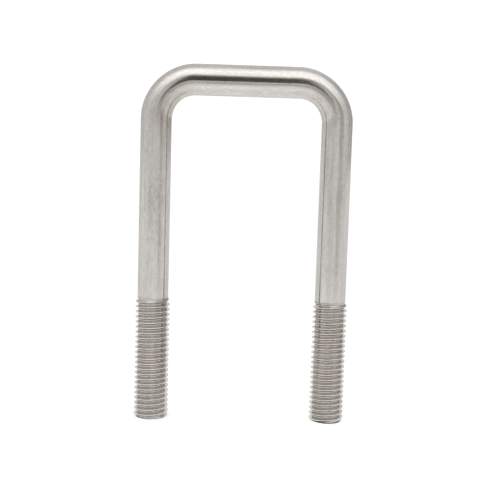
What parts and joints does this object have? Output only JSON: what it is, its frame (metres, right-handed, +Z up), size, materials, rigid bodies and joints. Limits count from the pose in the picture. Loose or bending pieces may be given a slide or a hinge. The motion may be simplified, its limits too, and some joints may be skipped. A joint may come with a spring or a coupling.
{
  "type": "u-bolt",
  "caption": "Square-bend U-bolt: a round stainless bar bent to a U with a straight crown, rolled metric threads on both leg ends.",
  "frame": {"origin": "midway between the two legs, on the plane of the leg ends", "axes": "+Z up the legs towards the crown, +X across from the left leg to the right leg, +Y normal to the plane of the bent bar"},
  "size_m": [0.0615, 0.01, 0.1022],
  "materials": {
    "stainless_bar": "satin drawn bar, fine lines along the bar"
  },
  "bodies": {
    "root": {"u_bolt": "stainless_bar"}
  },
  "joints": []
}
